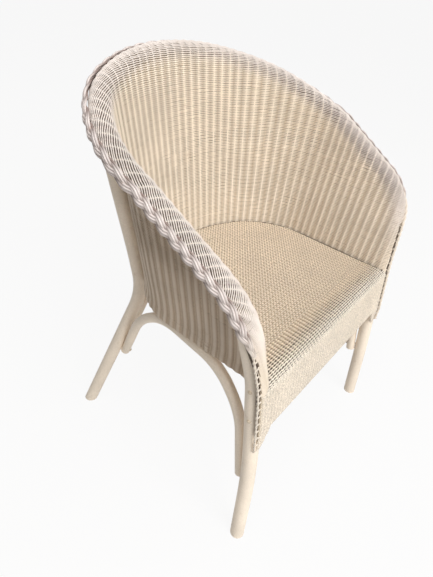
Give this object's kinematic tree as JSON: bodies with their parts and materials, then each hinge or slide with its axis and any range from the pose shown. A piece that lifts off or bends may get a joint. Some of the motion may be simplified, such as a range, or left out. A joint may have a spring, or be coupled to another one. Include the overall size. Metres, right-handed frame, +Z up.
{
  "type": "woven tub armchair",
  "caption": "Tub armchair woven from twisted paper fibre over a bent-wood frame, with a rolled rim, a plaited edge and round legs braced by bent arches.",
  "frame": {"origin": "on the floor under the middle of the chair's outline", "axes": "+Z up, the chair faces -Y, +X is to the right when seen from the front"},
  "size_m": [0.6162, 0.5233, 0.7866],
  "materials": {
    "painted_wood": "cream paint, satin, worn",
    "plain_wood": "bare beech",
    "woven_fibre": "cream paint over woven fibre",
    "steel": "painted over where it shows"
  },
  "bodies": {
    "root": {"front_leg_left": "painted_wood", "front_leg_right": "painted_wood", "back_leg_left": "painted_wood", "back_leg_right": "painted_wood", "side_arch_left": "painted_wood", "side_arch_right": "painted_wood", "rear_arch": "painted_wood", "rim_bow": "painted_wood", "seat_bow": "plain_wood", "front_rail": "painted_wood", "seat_slat_1": "plain_wood", "seat_slat_2": "plain_wood", "seat_slat_3": "plain_wood", "rim_dowels": "plain_wood", "rail_dowels": "plain_wood", "slat_dowels": "plain_wood", "tub_shell": "woven_fibre", "seat_panel": "woven_fibre", "rim_braid": "woven_fibre", "front_leg_screws": "steel", "back_leg_screws": "steel", "arch_screws": "steel", "apron_tacks": "steel"}
  },
  "joints": []
}
